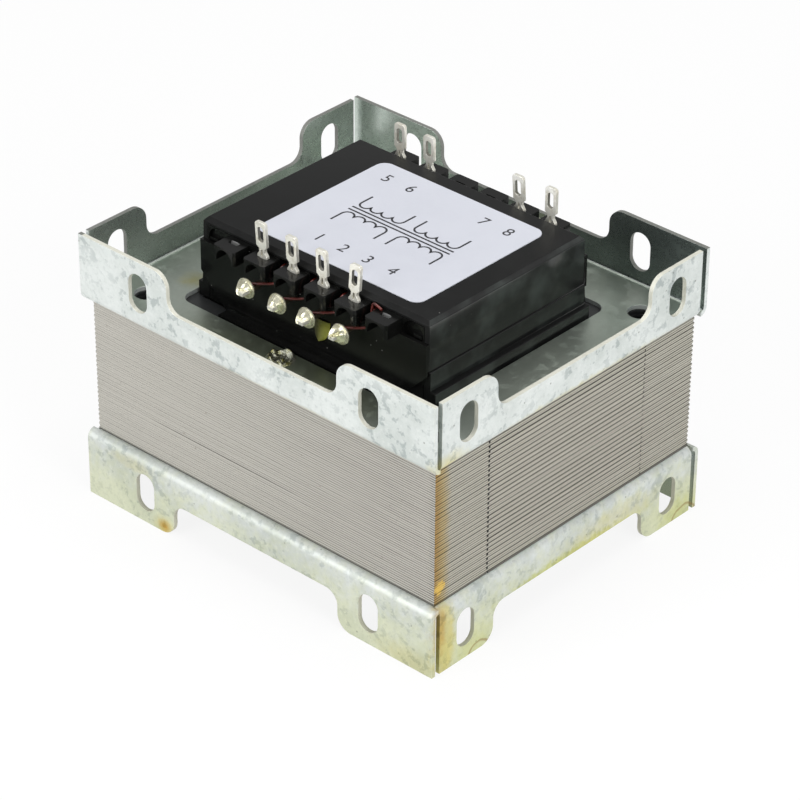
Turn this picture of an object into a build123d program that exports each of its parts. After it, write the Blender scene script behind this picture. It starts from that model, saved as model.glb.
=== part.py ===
from build123d import *
from math import atan, degrees
import os

# Chassis transformer on a stack of E and I sheets, held between two pressed four-way frames.
# Millimetres, +Z up. It stands on the lower frame's lugs at z = 0, centred on X and Y.
# X runs along the yokes, Y along the legs and the coil's axis.

# Core: sheets laid flat, each turned end for end on the one below
tongue_width = 32.0         # centre leg, in X
window_width = 16.0         # X, between the centre leg and an outer leg
window_length = 48.0        # Y
outer_leg = 16.0
yoke_width = 16.0
sheet_pairs = 29
sheet_pitch = 0.555         # sheet with its varnish
step_x = 0.25               # each second sheet stands back by this
step_y = 0.06
joint_gap = 0.35            # between an E leg and its I
joint_depth = 0.3
bolt_hole = 5.6             # at the middle of each corner

# Pressed frames, the same pressing above and below
sheet_metal = 1.0
bend_inside = 0.9
lug_clearance = 1.0         # lug tips past the coil's cover
overhang_x = 1.4            # core side to the flange's outer face
overhang_y = 2.1
corner_relief = 0.35        # end of a short flange to the long flange's bend
lug_long = 25.8             # a lug's length on the flanges along X, from the frame's corner
lug_short = 18.5            # and on the flanges along Y
lug_radius = 3.6
notch_radius = 3.2
notch_depth = 8.5           # lug tips to the edge between the lugs
slot_width = 5.3
slot_length = 9.0
slot_inset_long = 17.3      # slot's middle from the frame's corner
slot_inset_short = 10.0
slot_drop = 7.5             # slot's middle from the lug tips
window_radius = 3.0
frame_window_gap = 0.6      # to the coil cover's foot and the bobbin's ledge

# Welds at the middle of each yoke
weld_hole = 5.0
weld_cap = 6.6
weld_crown = 3.0            # flat on top of the cap
weld_rise = 1.1
weld_shift = -1.5
weld_fit = 0.05

# Bobbin
leg_clearance = 0.3         # round the centre leg, and at the ends of the core window
tube_wall = 1.3
cheek = 1.3                 # end flanges
divider = 1.2
panel = 0.9                 # step on each cheek above the yoke
panel_drop = 3.5            # upper edge below the cheek's
panel_corner = 7.0          # 45 degree cut at the panel's lower corners
ledge_depth = 4.5           # over the yoke, from the cheek
ledge_rise = 1.0
ledge_length = 46.0
rib_depth = 0.7             # along the panel's foot
rib_rise = 1.9              # above the core
terminals = 6               # posts in a row
terminal_pitch = 8.4
post_width = 6.0
post_depth = 4.5
post_drop = 1.8             # top below the cover's top
post_height = 3.3
post_wall = 0.9
post_cap = 0.5              # over the round head of the post's pocket
post_chamfer = 0.45
lead_notch = 2.0
lead_drop = 1.3             # where a lead leaves, below the cheek's upper edge
arch_width = 5.4            # recess for the cover's latch, beside the posts
arch_height = 3.2
arch_depth = 0.8
latch_width = 2.2
latch_height = 0.6
latch_shift = 1.3

# Coil
coil_margin = 0.1           # winding to tube, cheek and divider
coil_to_cover = 0.6
coil_headroom = 4.4         # from the tape to the cheeks' upper edge
tape = 0.4
coil_radius = 5.0

# Coil covers
cover_wall = 1.3
cover_gap = 0.1             # over the cheeks
cover_to_window = 0.6       # side wall to the core's outer leg
cover_step = 0.4            # lower band of each side wall stands out
cover_band = 7.8            # height of that band
cover_foot = 1.8            # rim that rests on the outer legs
foot_rise = 3.4
cover_chamfer = 0.9
label_x = 45.1
label_y = 39.2
label_radius = 2.5
label_thick = 0.15
label_shift_x = 2.45
label_shift_y = -0.55

# Solder tags
tag_width = 2.9
tag_thick = 0.8
tag_rise = 8.3
tag_corner = 0.7
tag_neck = 1.5
tag_fit = 0.1
eye_width = 1.05
eye_length = 3.0
eye_drop = 2.9              # eye's middle below the tip
blade_length = 5.6
shoulder_width = 2.7
shoulder_rise = 1.4
shoulder_edge = 0.5         # upright edge of the shoulder
fork_slit = 0.45
fork_length = 1.4
stem_drop = 5.7             # tail's middle below the post's top
tail_reach = 6.95           # past the stem
front_row = "- r r r r -"   # posts from -X: none, or a tag whose lead leaves towards -X (l) or +X (r)
rear_row = "r r - - l l"

# Solder and leads
solder_radius = 2.3
solder_pad = 0.8
solder_lump = 2.0           # lump's radius where it leaves the pad
solder_length = 3.5         # pad and lump
solder_tip = 0.6
solder_facets = 7
solder_cover = 0.7          # solder past the tail's end
wire = 0.7
wire_sides = 8
wire_gap = 0.05
wire_inside = 4.0           # lead's length inside the cheek

# End of the coil's tape, over the front panel
tab_width = 4.2
tab_length = 4.4
tab_thick = 0.25
tab_corner = 1.2
tab_shift = 3.4
tab_drop = 5.3              # below the panel's upper edge

past = 1.0                  # how far a cut runs past a face

# Levels and faces that several pieces share
core_length = tongue_width + 2 * (window_width + outer_leg)
core_width = window_length + 2 * yoke_width
core_height = 2 * sheet_pairs * sheet_pitch
bolt_spacing_x = core_length - outer_leg
bolt_spacing_y = core_width - yoke_width
window_x = core_length / 2 - outer_leg
window_y = window_length / 2
flange_x = core_length / 2 + overhang_x
flange_y = core_width / 2 + overhang_y
bend_outside = bend_inside + sheet_metal
tube_x = tongue_width / 2 + leg_clearance + tube_wall
tube_z = core_height / 2 + leg_clearance + tube_wall
cheek_y = window_y - leg_clearance
cover_x = window_x - cover_to_window
cheek_x = cover_x - cover_wall - cover_gap
tape_x = cheek_x - coil_to_cover
coil_x = tape_x - tape
coil_z = tube_z + coil_x - tube_x
tape_z = coil_z + tape
foot_x = cover_x + cover_foot
cover_reach = tape_z - core_height / 2 + cover_gap + cover_wall     # lower cover, below the core
frame_height = cover_reach + lug_clearance
core_low = frame_height
core_top = core_low + core_height
core_middle = core_low + core_height / 2
cheek_low = core_middle - tape_z
cheek_top = core_middle + tape_z + coil_headroom
cover_top = cheek_top + cover_gap + cover_wall
panel_y = cheek_y + panel
panel_top = cheek_top - panel_drop
lead_exit = cheek_top - lead_drop
ledge_y = cheek_y + ledge_depth
post_y = cheek_y + post_depth
post_top = cover_top - post_drop
tag_y = panel_y + tag_fit + tag_thick / 2
tail_z = post_top - stem_drop
tail_end = tag_y + tail_reach
solder_base = tail_end + solder_cover - solder_length
post_places = [(k - (terminals - 1) / 2) * terminal_pitch for k in range(terminals)]


def block(x0, x1, y0, y1, z0, z1):
    return Pos((x0 + x1) / 2, (y0 + y1) / 2, (z0 + z1) / 2) * Box(x1 - x0, y1 - y0, z1 - z0)


def rise(face, low, high):
    return extrude(Pos(0, 0, low) * face, amount=high - low, dir=(0, 0, 1))


def along_y(face, y0, y1):
    # A face drawn with its own X and Y as the object's X and Z
    placed = Plane((0, y0, 0), x_dir=(1, 0, 0), z_dir=(0, -1, 0)) * face
    return extrude(placed, amount=y1 - y0, dir=(0, 1, 0))


def bolt_holes(radius, low, high):
    spread = GridLocations(bolt_spacing_x, bolt_spacing_y, 2, 2)
    return rise(Sketch() + spread * Circle(radius), low, high)


# Core: a block cut for the coil, with one proud or set-back edge band for each sheet
def core_block():
    return Rectangle(core_length - 2 * (step_x + joint_depth), core_width - 2 * (step_y + joint_depth))


def sheet_band(back_x, back_y, joint_side):
    band = Rectangle(core_length - 2 * back_x, core_width - 2 * back_y) - core_block()
    joint_y = joint_side * (window_y + joint_gap / 2)
    return band - Pos(0, joint_y) * Rectangle(core_length, joint_gap)


def laminated_core():
    plan = core_block()
    for side in (-1, 1):
        middle = side * (tongue_width + window_width) / 2
        plan -= Pos(middle, 0) * Rectangle(window_width, window_length)
    core = rise(plan, core_low, core_top)
    bands = (sheet_band(0, 0, -1), sheet_band(step_x, step_y, 1))
    edges = []
    for k in range(2 * sheet_pairs):
        low = core_low + k * sheet_pitch
        edges += rise(bands[k % 2], low, low + sheet_pitch).solids()
    core = core.fuse(*edges)
    return core - bolt_holes(bolt_hole / 2, core_low - past, core_top + past)


# Frame, drawn with its core face at z = 0 and its flanges up
def flange_section(outer):
    start = outer - bend_outside
    inner = outer - sheet_metal
    lines = [
        Line((start, 0), (start, sheet_metal)),
        CenterArc((start, bend_outside), bend_inside, 270, 90),
        Line((inner, bend_outside), (inner, frame_height)),
        Line((inner, frame_height), (outer, frame_height)),
        Line((outer, frame_height), (outer, bend_outside)),
        CenterArc((start, bend_outside), bend_outside, 270, 90),
    ]
    return make_face(lines)


def lug_notch(lug_inner, slot_offset):
    # What is cut from a flange between its lugs, and its two mounting slots
    top = frame_height
    low_edge = frame_height - notch_depth
    side = lug_inner + 2 * lug_radius
    above = top + lug_radius
    corners = [
        (-side, top), (-lug_inner, top), (-lug_inner, low_edge), (lug_inner, low_edge),
        (lug_inner, top), (side, top), (side, above), (-side, above),
    ]
    radii = [0, lug_radius, notch_radius, notch_radius, lug_radius, 0, 0, 0]
    notch = make_face(FilletPolyline(*corners, radius=radii, close=True))
    slot = SlotOverall(slot_length, slot_width, rotation=90)
    return notch + [Pos(s * slot_offset, frame_height - slot_drop) * slot for s in (-1, 1)]


def flange(outer, half_length, notch):
    # Runs along X on the -Y side
    profile = Plane((-half_length, 0, 0), x_dir=(0, -1, 0), z_dir=(-1, 0, 0)) * flange_section(outer)
    leaf = extrude(profile, amount=2 * half_length, dir=(1, 0, 0))
    return leaf - along_y(notch, -outer - past, -outer + bend_outside + past)


def pressed_frame():
    plate_x = flange_x - bend_outside
    plate_y = flange_y - bend_outside
    plan = Rectangle(2 * plate_x, 2 * plate_y)
    opening_x = 2 * (foot_x + frame_window_gap)
    opening_y = 2 * (ledge_y + frame_window_gap)
    plan -= RectangleRounded(opening_x, opening_y, window_radius)
    weld_y = core_width / 2 - yoke_width / 2
    plan -= [Pos(weld_shift, s * weld_y) * Circle(weld_hole / 2) for s in (-1, 1)]
    frame = rise(plan, 0, sheet_metal)
    long_notch = lug_notch(flange_x - lug_long, flange_x - slot_inset_long)
    short_notch = lug_notch(flange_y - lug_short, flange_y - slot_inset_short)
    long_flange = flange(flange_y, flange_x, long_notch)
    short_flange = flange(flange_x, plate_y - corner_relief, short_notch)
    frame += [long_flange, Rot(0, 0, 180) * long_flange]
    frame += [Rot(0, 0, 90) * short_flange, Rot(0, 0, -90) * short_flange]
    return frame - bolt_holes(bolt_hole / 2, -past, sheet_metal + past)


def frame_weld():
    # Plug through the plate with a raised cap, on the frame's own face
    plug = rise(Circle(weld_hole / 2 - weld_fit), 0, sheet_metal)
    slope = degrees(atan((weld_cap - weld_crown) / 2 / weld_rise))
    base = Pos(0, 0, sheet_metal) * Circle(weld_cap / 2)
    return plug + extrude(base, amount=weld_rise, dir=(0, 0, 1), taper=slope)


def both_sides(piece):
    weld_y = core_width / 2 - yoke_width / 2
    return [Pos(weld_shift, s * weld_y, 0) * piece for s in (-1, 1)]


def rear(piece):
    return Rot(0, 0, 180) * piece


def on_top(piece):
    return Pos(0, 0, core_top) * piece


def underneath(piece):
    return Pos(0, 0, core_low) * Rot(180, 0, 0) * piece


# Bobbin: tube, two cheeks and a divider, with a terminal row over each yoke
def terminal_post(place):
    low = post_top - post_height
    plan = Pos(place, -cheek_y - post_depth / 2) * Rectangle(post_width, post_depth)
    plan = chamfer(plan.vertices().sort_by(Axis.Y)[:2], post_chamfer)
    post = rise(plan, low, post_top)
    half = post_width / 2 - post_wall
    spring = post_top - post_cap - half
    pocket = Pos(place, spring) * Circle(half)
    pocket += Pos(place, (low - past + spring) / 2) * Rectangle(2 * half, spring - low + past)
    post -= along_y(pocket, -post_y - past, -cheek_y - post_wall)
    slot_x = shoulder_width / 2 - tag_fit
    slot_y = tag_thick / 2 + tag_fit
    slot_top = post_top + past
    return post - block(place - slot_x, place + slot_x, -tag_y - slot_y, -tag_y + slot_y, low, slot_top)


def terminal_side():
    # Built on the -Y side
    cut = core_top + panel_corner
    corners = [
        (-cover_x, panel_top), (cover_x, panel_top), (cover_x, cut),
        (cover_x - panel_corner, core_top), (panel_corner - cover_x, core_top), (-cover_x, cut),
    ]
    side = along_y(make_face(Polyline(*corners, close=True)), -panel_y, -cheek_y)
    half = ledge_length / 2
    side += block(-half, half, -ledge_y, -cheek_y, core_top, core_top + ledge_rise)
    side += block(-half, half, -panel_y - rib_depth, -cheek_y, core_top, core_top + rib_rise)
    return side + [terminal_post(place) for place in post_places]


def latch_arch(side):
    # Round-headed recess beside the posts, with the latch's step at its foot
    radius = arch_width / 2
    last_post = post_places[-1] + post_width / 2
    middle = side * (last_post + cheek_x) / 2
    low = cheek_top - arch_height
    latch = middle + side * latch_shift
    shape = Pos(middle, cheek_top - radius) * Circle(radius)
    shape += Pos(middle, (low + cheek_top - radius) / 2) * Rectangle(arch_width, arch_height - radius)
    shape -= Pos(latch, low + latch_height / 2) * Rectangle(latch_width, latch_height)
    return along_y(shape, -cheek_y - past, -cheek_y + arch_depth)


def beside(place, side):
    # Middle of the gap between two posts
    return place + side * terminal_pitch / 2


def cheek_notch(place, side):
    left = beside(place, side) - lead_notch / 2
    low = lead_exit - lead_notch / 2
    inner = -cheek_y + cheek
    return block(left, left + lead_notch, -cheek_y - past, inner + past, low, cheek_top + past)


def bobbin():
    high = cheek_top
    hollow_x = tongue_width / 2 + leg_clearance
    hollow_z = core_height / 2 + leg_clearance
    body = block(-tube_x, tube_x, -cheek_y, cheek_y, core_middle - tube_z, core_middle + tube_z)
    for side in (-1, 1):
        middle = side * (cheek_y - cheek / 2)
        body += block(-cheek_x, cheek_x, middle - cheek / 2, middle + cheek / 2, cheek_low, high)
    wall = Pos(0, core_middle) * RectangleRounded(2 * coil_x, 2 * coil_z, coil_radius)
    body += along_y(wall, -divider / 2, divider / 2)
    hollow_low = core_middle - hollow_z
    body -= block(-hollow_x, hollow_x, -core_width, core_width, hollow_low, hollow_low + 2 * hollow_z)
    body -= [cheek_notch(place, side) for place, side in front_tags]
    body -= [rear(cheek_notch(-place, -side)) for place, side in rear_tags]
    for side in (-1, 1):
        body -= [latch_arch(side), rear(latch_arch(side))]
    front = terminal_side()
    return body + [front, rear(front)]


# Coil: two windings side by side, each with its tape
def coil_ring(inner_x, inner_z, inner_radius, outer_x, outer_z, outer_radius, side):
    ring = RectangleRounded(2 * outer_x, 2 * outer_z, outer_radius)
    if inner_radius:
        ring -= RectangleRounded(2 * inner_x, 2 * inner_z, inner_radius)
    else:
        ring -= Rectangle(2 * inner_x, 2 * inner_z)
    near = divider / 2 + coil_margin
    far = cheek_y - cheek - coil_margin
    low, high = (near, far) if side > 0 else (-far, -near)
    return along_y(Pos(0, core_middle) * ring, low, high)


def winding(side):
    return coil_ring(tube_x + coil_margin, tube_z + coil_margin, 0, coil_x, coil_z, coil_radius, side)


def coil_tape(side):
    return coil_ring(coil_x, coil_z, coil_radius, tape_x, tape_z, coil_radius + tape, side)


# Covers: a channel over the coil that stands on the core's outer legs
def coil_cover(height):
    # Drawn with the core face at z = 0
    half = cheek_y
    inner = cover_x - cover_wall
    band = cover_x + cover_step
    outline = [
        (-foot_x, 0), (-foot_x, foot_rise), (-band, foot_rise), (-band, cover_band), (-cover_x, cover_band),
        (-cover_x, height - cover_chamfer), (-cover_x + cover_chamfer, height),
        (cover_x - cover_chamfer, height), (cover_x, height - cover_chamfer),
        (cover_x, cover_band), (band, cover_band), (band, foot_rise), (foot_x, foot_rise), (foot_x, 0),
        (inner, 0), (inner, height - cover_wall), (-inner, height - cover_wall), (-inner, 0),
    ]
    channel = along_y(make_face(Polyline(*outline, close=True)), -half, half)
    top_edges = channel.faces().sort_by(Axis.Z)[-1].edges().filter_by(Axis.X)
    return chamfer(top_edges, cover_chamfer)


def label():
    face = Pos(label_shift_x, label_shift_y) * RectangleRounded(label_x, label_y, label_radius)
    return rise(face, 0, label_thick)


# Solder tag in a post, on the -Y side
def solder_tag(place):
    tip = post_top + tag_rise
    neck_z = tip - blade_length - (tag_rise - blade_length - shoulder_rise) / 2
    half, neck, shoulder = tag_width / 2, tag_neck / 2, shoulder_width / 2
    slope = post_top + shoulder_edge
    right = [
        (half, tip), (half, tip - blade_length), (neck, neck_z), (neck, post_top + shoulder_rise),
        (shoulder, slope), (shoulder, post_top), (neck, post_top), (neck, tail_z - tag_thick / 2),
    ]
    left = [(-x, z) for x, z in reversed(right)]
    blade = make_face(Polyline(*right, *left, close=True))
    blade = fillet(blade.vertices().group_by(Axis.Y)[-1], tag_corner)
    eye = SlotOverall(eye_length, eye_width, rotation=90)
    blade -= Pos(0, tip - eye_drop) * eye
    blade -= Pos(0, slope + fork_length / 2) * Rectangle(fork_slit, fork_length)
    tag = along_y(Pos(place, 0) * blade, -tag_y - tag_thick / 2, -tag_y + tag_thick / 2)
    return tag + tail(place)


def tail(place):
    half = tag_neck / 2
    low = tail_z - tag_thick / 2
    return block(place - half, place + half, -tail_end, -tag_y, low, low + tag_thick)


def solder_joint(place):
    # A round pad against the tail with a faceted lump on it, round the tail's end
    height = solder_length - solder_pad
    slope = degrees(atan((solder_lump - solder_tip) / height))
    joint = rise(Circle(solder_radius), 0, solder_pad)
    base = Pos(0, 0, solder_pad) * RegularPolygon(solder_lump, solder_facets, major_radius=False)
    joint += extrude(base, amount=height, dir=(0, 0, 1), taper=slope)
    return Plane((place, -solder_base, tail_z), x_dir=(1, 0, 0), z_dir=(0, -1, 0)) * joint - tail(place)


def lead(place, side):
    # From the tape, out through the cheek's notch, down beside the post and under it onto the tail
    x = beside(place, side)
    over = core_middle + tape_z + wire / 2 + wire_gap
    low = tail_z + tag_thick / 2 + wire / 2 + wire_gap
    front = -(panel_y + wire / 2 + wire_gap)
    end = -(solder_base - wire / 2 - 2 * wire_gap)
    path = Polyline(
        (x, -cheek_y + wire_inside, over), (x, -cheek_y + cheek + wire, lead_exit),
        (x, front, lead_exit), (x, front, low), (place - side * tag_neck / 2, end, low),
    )
    start = Plane(origin=path @ 0, z_dir=path % 0)
    section = start * RegularPolygon(wire / 2, wire_sides)
    return sweep(section, path=path, transition=Transition.RIGHT)


def tape_tab():
    middle = panel_top - tab_drop - tab_length / 2
    face = Pos(tab_shift, middle) * RectangleRounded(tab_width, tab_length, tab_corner)
    return along_y(face, -panel_y - tab_thick, -panel_y)


def group(pieces):
    return Compound(children=list(pieces))


def tagged(row):
    sides = {"l": -1, "r": 1}
    return [(place, sides[mark]) for place, mark in zip(post_places, row.split()) if mark in sides]


front_tags = tagged(front_row)
rear_tags = tagged(rear_row)
front_places = [place for place, side in front_tags]
rear_places = [place for place, side in rear_tags]

nodes = {
    "laminated_core": laminated_core(),
    "upper_frame": on_top(pressed_frame()),
    "lower_frame": underneath(pressed_frame()),
    "upper_frame_welds": group(on_top(weld) for weld in both_sides(frame_weld())),
    "lower_frame_welds": group(underneath(weld) for weld in both_sides(frame_weld())),
    "bobbin": bobbin(),
    "secondary_winding": winding(-1),
    "primary_winding": winding(1),
    "secondary_tape": coil_tape(-1),
    "primary_tape": coil_tape(1),
    "upper_cover": on_top(coil_cover(cover_top - core_top)),
    "lower_cover": underneath(coil_cover(cover_reach)),
    "label": Pos(0, 0, cover_top) * label(),
    "secondary_solder": group(solder_joint(place) for place in front_places),
    "primary_solder": group(rear(solder_joint(-place)) for place in rear_places),
    "secondary_leads": group(lead(place, side) for place, side in front_tags),
    "primary_leads": group(rear(lead(-place, -side)) for place, side in rear_tags),
    "tape_tab": tape_tab(),
}
for number, place in enumerate(front_places, 1):
    nodes[f"secondary_tag_{number}"] = solder_tag(place)
for number, place in enumerate(rear_places, 1):
    nodes[f"primary_tag_{number}"] = rear(solder_tag(-place))

os.makedirs("parts", exist_ok=True)
for name, shape in nodes.items():
    export_step(shape, f"parts/{name}.step")
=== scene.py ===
import bmesh
import bpy
import random
from math import cos, exp, hypot, pi, radians, sin, sqrt, tau
from mathutils import Matrix, Vector, noise


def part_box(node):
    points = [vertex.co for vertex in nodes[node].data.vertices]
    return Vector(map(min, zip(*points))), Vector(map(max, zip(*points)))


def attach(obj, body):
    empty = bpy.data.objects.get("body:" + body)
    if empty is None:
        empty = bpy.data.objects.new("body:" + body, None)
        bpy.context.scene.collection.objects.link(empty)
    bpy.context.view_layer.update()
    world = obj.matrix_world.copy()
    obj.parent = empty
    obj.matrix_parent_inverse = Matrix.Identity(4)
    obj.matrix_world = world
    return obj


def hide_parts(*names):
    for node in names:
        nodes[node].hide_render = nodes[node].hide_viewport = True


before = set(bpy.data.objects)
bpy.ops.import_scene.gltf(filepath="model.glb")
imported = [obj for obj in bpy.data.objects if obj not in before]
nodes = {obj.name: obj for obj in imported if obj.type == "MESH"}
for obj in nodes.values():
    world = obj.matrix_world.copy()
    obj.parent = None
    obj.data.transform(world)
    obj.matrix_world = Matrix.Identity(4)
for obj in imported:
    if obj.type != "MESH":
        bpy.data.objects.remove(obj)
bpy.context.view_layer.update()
scene = bpy.context.scene
mm = 0.001
print("frame loaded,", len(nodes), "nodes")


# small helpers for node trees
def treeOf(*values):
    # the tree of the first socket among the values
    return next(v.id_data for v in values if isinstance(v, bpy.types.NodeSocket))


def plug(socket, value):
    if isinstance(value, bpy.types.NodeSocket):
        socket.id_data.links.new(value, socket)
    else:
        socket.default_value = (*value, 1) if socket.type == "RGBA" else value


def put(tree, kind, inputs=None, **settings):
    node = tree.nodes.new(kind)
    for label, value in settings.items():
        setattr(node, label, value)
    for key, value in (inputs or {}).items():
        plug(node.inputs[key], value)
    return node


def take(*given, **settings):
    # a new node's first output
    return put(*given, **settings).outputs[0]


def sums(operation, a, b=0.0):
    return take(treeOf(a, b), "ShaderNodeMath", {0: a, 1: b}, operation=operation)


def plus(a, b):
    return sums("ADD", a, b)


def minus(a, b):
    return sums("SUBTRACT", a, b)


def times(first, *others):
    for other in others:
        first = sums("MULTIPLY", first, other)
    return first


def weighted(weights, *values):
    # the first number, plus each value times its own number
    total = weights[0]
    for weight, value in zip(weights[1:], values):
        total = plus(total, times(value, weight))
    return total


def vectors(operation, inputs):
    return put(treeOf(*inputs.values()), "ShaderNodeVectorMath", inputs, operation=operation).outputs


def axes(place):
    return put(place.id_data, "ShaderNodeSeparateXYZ", {0: place}).outputs


def fade(value, low, high, start=0.0, end=1.0):
    # soft step from start to end while the value goes from low to high
    inputs = {"Value": value, "From Min": low, "From Max": high, "To Min": start, "To Max": end}
    return take(value.id_data, "ShaderNodeMapRange", inputs, interpolation_type="SMOOTHSTEP")


def fadeOver(value, span, start=0.0, end=1.0):
    # the same for a length, with the span in mm
    return fade(value, span[0] * mm, span[1] * mm, start, end)


def mixColour(share, first, second, blend="MIX"):
    inputs = {0: share, 6: first, 7: second}
    tree = treeOf(*inputs.values())
    return put(tree, "ShaderNodeMix", inputs, data_type="RGBA", blend_type=blend).outputs[2]


def tinted(share, colour, tint):
    return mixColour(share, colour, tint, "MULTIPLY")


def clouds(place, scale, detail=2.0, rough=0.5):
    inputs = {"Vector": place, "Scale": scale, "Detail": detail, "Roughness": rough}
    return take(place.id_data, "ShaderNodeTexNoise", inputs)


def painted(place, label):
    # a value stored on the mesh
    return put(place.id_data, "ShaderNodeAttribute", attribute_name=label).outputs["Fac"]


def newGroup(name, inputs, outputs, kind="ShaderNodeTree"):
    # a socket is a float unless its label has another kind after a colon
    tree = bpy.data.node_groups.new(name, kind)
    for way, labels in (("INPUT", inputs), ("OUTPUT", outputs)):
        for label in labels:
            label, colon, sort = label.partition(":")
            tree.interface.new_socket(label, in_out=way, socket_type="NodeSocket" + (sort or "Float"))
    return tree, tree.nodes.new("NodeGroupInput").outputs, tree.nodes.new("NodeGroupOutput").inputs


# smudges of a given size, small specks, and a grain finer than the smudges
grime = {"patch": (4.0, 0.6), "grain": (2.0, 0.6), "finer": 9.0, "speckCore": 0.5}


def makeGrime():
    inputs = ["Vector:Vector", "Patch Scale", "Low", "High", "Speck Scale", "Speck Size", "Speck Share"]
    tree, given, out = newGroup("grime", inputs, ["Patches", "Specks", "Grain"])
    place, scale, size = given["Vector"], given["Patch Scale"], given["Speck Size"]
    patches = clouds(place, scale, *grime["patch"])
    plug(out["Patches"], fade(patches, given["Low"], given["High"]))
    cells = put(tree, "ShaderNodeTexVoronoi", {"Vector": place, "Scale": given["Speck Scale"]}).outputs
    near = fade(cells["Distance"], times(size, grime["speckCore"]), size, 1.0, 0.0)
    chance = take(tree, "ShaderNodeSeparateColor", {0: cells["Color"]})
    chosen = sums("LESS_THAN", chance, given["Speck Share"])
    plug(out["Specks"], times(near, chosen))
    grain = clouds(place, times(scale, grime["finer"]), *grime["grain"])
    plug(out["Grain"], grain)
    return tree


# a stain with a ragged edge about a middle point, and the thin line where it ends
stain = {"rag": (4.0, 0.65), "lineStart": (0.8, 0.95), "lineEnd": (0.97, 1.06)}


def makeStain():
    inputs = ["Vector:Vector", "Middle:Vector", "Reach:Vector", "Ragged", "Rag Scale", "Core"]
    tree, given, out = newGroup("stain", inputs, ["Mask", "Edge"])
    away = vectors("SUBTRACT", {0: given["Vector"], 1: given["Middle"]})[0]
    share = vectors("DIVIDE", {0: away, 1: given["Reach"]})[0]
    far = vectors("LENGTH", {0: share})["Value"]
    rag = minus(clouds(given["Vector"], given["Rag Scale"], *stain["rag"]), 0.5)
    far = plus(far, times(rag, given["Ragged"]))
    plug(out["Mask"], fade(far, given["Core"], 1.0, 1.0, 0.0))
    line = times(fade(far, *stain["lineStart"]), fade(far, *stain["lineEnd"], 1.0, 0.0))
    plug(out["Edge"], line)
    return tree


grimeGroup = makeGrime()
stainGroup = makeStain()


def withGrime(place, patchSize, low, high, speckPitch, speckSize, speckShare):
    # sizes in mm; a patch starts where the noise is low and is full where it is high
    inputs = {"Vector": place, "Patch Scale": 1000 / patchSize, "Low": low, "High": high,
              "Speck Scale": 1000 / speckPitch, "Speck Size": speckSize / speckPitch,
              "Speck Share": speckShare}
    return put(place.id_data, "ShaderNodeGroup", inputs, node_tree=grimeGroup).outputs


def withStain(place, middle, reach, ragged=0.8, ragSize=2.0, core=0.45):
    # sizes in mm; inside the core share of its reach the stain is full
    inputs = {"Vector": place, "Middle": [v * mm for v in middle], "Reach": [v * mm for v in reach],
              "Ragged": ragged, "Rag Scale": 1000 / ragSize, "Core": core}
    return put(place.id_data, "ShaderNodeGroup", inputs, node_tree=stainGroup).outputs


def newMaterial(name):
    made = bpy.data.materials.new(name)
    made.use_nodes = True
    shader = made.node_tree.nodes["Principled BSDF"]
    place = made.node_tree.nodes.new("ShaderNodeTexCoord").outputs["Object"]
    return made, shader, place


def surface(shader, colour, metal, rough):
    for label, value in (("Base Color", colour), ("Metallic", metal), ("Roughness", rough)):
        plug(shader.inputs[label], value)


def overlaid(colour, mask, share, tint):
    # the tint over the colour, by a share of the mask
    return mixColour(times(mask, share), colour, tint)


def grainRough(grain, low, high):
    return fade(grain, 0.3, 0.7, low, high)


def bumps(shader, height, depth, strength=1.0):
    inputs = {"Height": height, "Distance": depth * mm, "Strength": strength}
    plug(shader.inputs["Normal"], take(shader.id_data, "ShaderNodeBump", inputs))


def filmed(name, look, shade=None):
    # two colours in patches, and what else the look has; a shade lies over the left side, up to its second X
    made, shader, place = newMaterial(name)
    film = withGrime(place, *look["grime"])
    colour = mixColour(film["Patches"], *look["colours"])
    if "specks" in look:
        colour = overlaid(colour, film["Specks"], *look["specks"])
    if shade:
        colour = mixColour(fade(axes(place)[0], *shade), look["shaded"], colour)
    surface(shader, colour, look["metal"], grainRough(film["Grain"], *look["rough"]))
    shader.inputs["Coat Weight"].default_value = look.get("coat", 0.0)
    if "bumps" in look:
        bumps(shader, film["Grain"], *look["bumps"])
    return made


# zinc plate: pale, with grey smudges and dark specks; the plates and the flanges' inner sides are smoother;
# painted shade darkens the plates, the flanges' inner sides and the rear inner side towards +X;
# the cut edges are dull, painted darker on the two far sides as shade, and yellow varnish tints it where it
# ran
zinc = {
    "grime": (2.3, 0.535, 0.62, 2.9, 0.27, 0.16),
    "broad": (85, 3.0, 0.55), "mottle": (900, 4.0, 0.65), "wander": (330, 5.0, 0.65), "wanderReach": 22.0,
    "pale": (0.72, 0.755, 0.735), "grey": (0.60, 0.64, 0.615), "greyStep": (0.32, 0.7),
    "smudge": (0.36, 0.405, 0.40), "smudgeStep": (0.35, 0.62), "onPlate": (1.0, -0.55),
    "spots": ((0.5, 0.7, (0.46, 0.50, 0.475)), (0.46, 0.34, (0.82, 0.84, 0.82))), "spotShare": 0.3,
    "speck": (0.6, (0.15, 0.15, 0.13)), "uneven": (1.0, -0.75, -0.5),
    "plateShade": (0.66, 0.695, 0.63), "innerShade": (0.87, 0.92, 0.87),
    "rearShade": (0.46, 0.48, 0.50), "rearY": (40.0, 40.5), "rearX": (-10, 30),
    "frontY": (-41.2, -40.2), "leftX": (-48.4, -48.0),
    "arc": (0.7, (0.30, 0.21, 0.07)), "arcRag": (0.25, 3.0),
    "nearCut": (0.66, 0.64, 0.53), "farCutShade": (0.11, 0.11, 0.095), "cutShare": (0.7, 0.85),
    "metal": (0.6, 0.38, 0.28, -0.4), "rough": (0.46, -0.15, -0.24, 0.08, 0.12),
    "relief": (0.0, 0.8, 2.0), "depth": 0.06, "strength": 0.7,
}


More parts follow.
